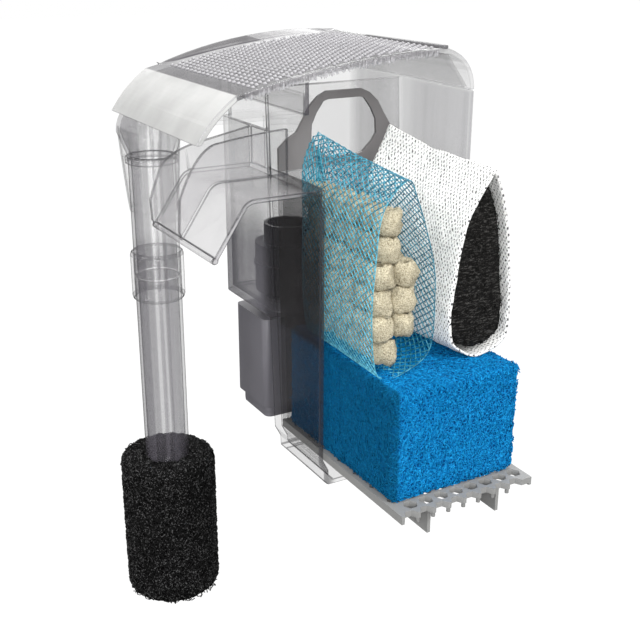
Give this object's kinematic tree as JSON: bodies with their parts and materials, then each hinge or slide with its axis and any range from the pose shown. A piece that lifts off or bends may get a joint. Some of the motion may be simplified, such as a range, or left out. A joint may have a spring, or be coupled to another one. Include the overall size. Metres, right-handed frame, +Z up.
{
  "type": "hang-on aquarium power filter",
  "caption": "Sectioned hang-on-back aquarium power filter: clear case with spillway, lid, media basket, foam and media bags, intake tube with prefilter sponge, and motor unit.",
  "frame": {"origin": "middle of the rim seat, the underside of the spillway floor that hangs on the tank's rim", "axes": "+Z up, -Y towards the tank, +X along the case towards its sectioned, open end"},
  "size_m": [0.2042, 0.1795, 0.3433],
  "materials": {
    "clear_case": "clear moulded, polished",
    "clear_lid": "clear moulded, polished, textured top",
    "smoke_plastic": "smoked, polished",
    "grey_plastic": "satin",
    "blue_foam": "open-cell foam",
    "net_fabric": "woven net",
    "ceramic": "porous, sandy",
    "white_fabric": "perforated non-woven",
    "carbon": "granular",
    "clear_tube": "clear moulded, polished",
    "black_sponge": "coarse sponge",
    "dark_plastic": "satin",
    "motor_plastic": "satin",
    "screw_steel": "bright",
    "lamination": "dull",
    "copper": "enamelled wire",
    "rubber": "matt",
    "shaft_ceramic": "polished",
    "magnet": "ferrite, matt",
    "impeller_plastic": "satin"
  },
  "bodies": {
    "filter_body": {"filter_case": "clear_case", "impeller_cover": "dark_plastic", "upper_bush": "rubber"},
    "lid_body": {"lid": "clear_lid"},
    "media_basket": {"basket": "smoke_plastic", "basket_grid": "grey_plastic", "foam_block": "blue_foam", "net_bag": "net_fabric", "ceramic_rings": "ceramic", "carbon_bag": "white_fabric", "carbon_fill": "carbon"},
    "intake_body": {"intake_u_tube": "clear_tube", "inner_leg": "clear_tube", "intake_collar": "clear_tube", "coupler_sleeve": "clear_tube"},
    "extension_body": {"extension_tube": "clear_tube", "intake_strainer": "dark_plastic"},
    "sponge_body": {"prefilter_sponge": "black_sponge"},
    "motor_unit": {"motor_housing": "motor_plastic", "motor_base": "motor_plastic", "base_screws": "screw_steel", "stator_core": "lamination", "stator_coil": "copper", "motor_seal": "rubber", "cord_gland": "dark_plastic", "impeller_shaft": "shaft_ceramic", "lower_bush": "rubber"},
    "rotor": {"rotor_magnet": "magnet", "impeller": "impeller_plastic"}
  },
  "joints": [
    {"name": "lid_lift", "type": "slide", "parent": "filter_body", "child": "lid_body", "axis": [0, 0, 1], "range_m": [0, 0.27]},
    {"name": "basket_lift", "type": "slide", "parent": "filter_body", "child": "media_basket", "axis": [0, 0, 1], "range_m": [0, 0.19]},
    {"name": "intake_lift", "type": "slide", "parent": "filter_body", "child": "intake_body", "axis": [0, 0, 1], "range_m": [0, 0.0815]},
    {"name": "extension_pull", "type": "slide", "parent": "intake_body", "child": "extension_body", "axis": [0, 0, -1], "range_m": [0, 0.02]},
    {"name": "sponge_pull", "type": "slide", "parent": "extension_body", "child": "sponge_body", "axis": [0, 0, -1], "range_m": [0, 0.09]},
    {"name": "motor_twist", "type": "hinge", "parent": "filter_body", "child": "motor_unit", "pos_m": [-0.056, 0.05, -0.1], "axis": [0, 0, 1], "range_deg": [0, 30]},
    {"name": "impeller_spin", "type": "hinge", "parent": "motor_unit", "child": "rotor", "pos_m": [-0.056, 0.05, -0.1], "axis": [0, 0, 1], "continuous": true}
  ],
  "couplings": [
    {"joint": "basket_lift", "follows": "lid_lift", "ratio": 0.7},
    {"joint": "intake_lift", "follows": "lid_lift", "ratio": 0.3}
  ]
}
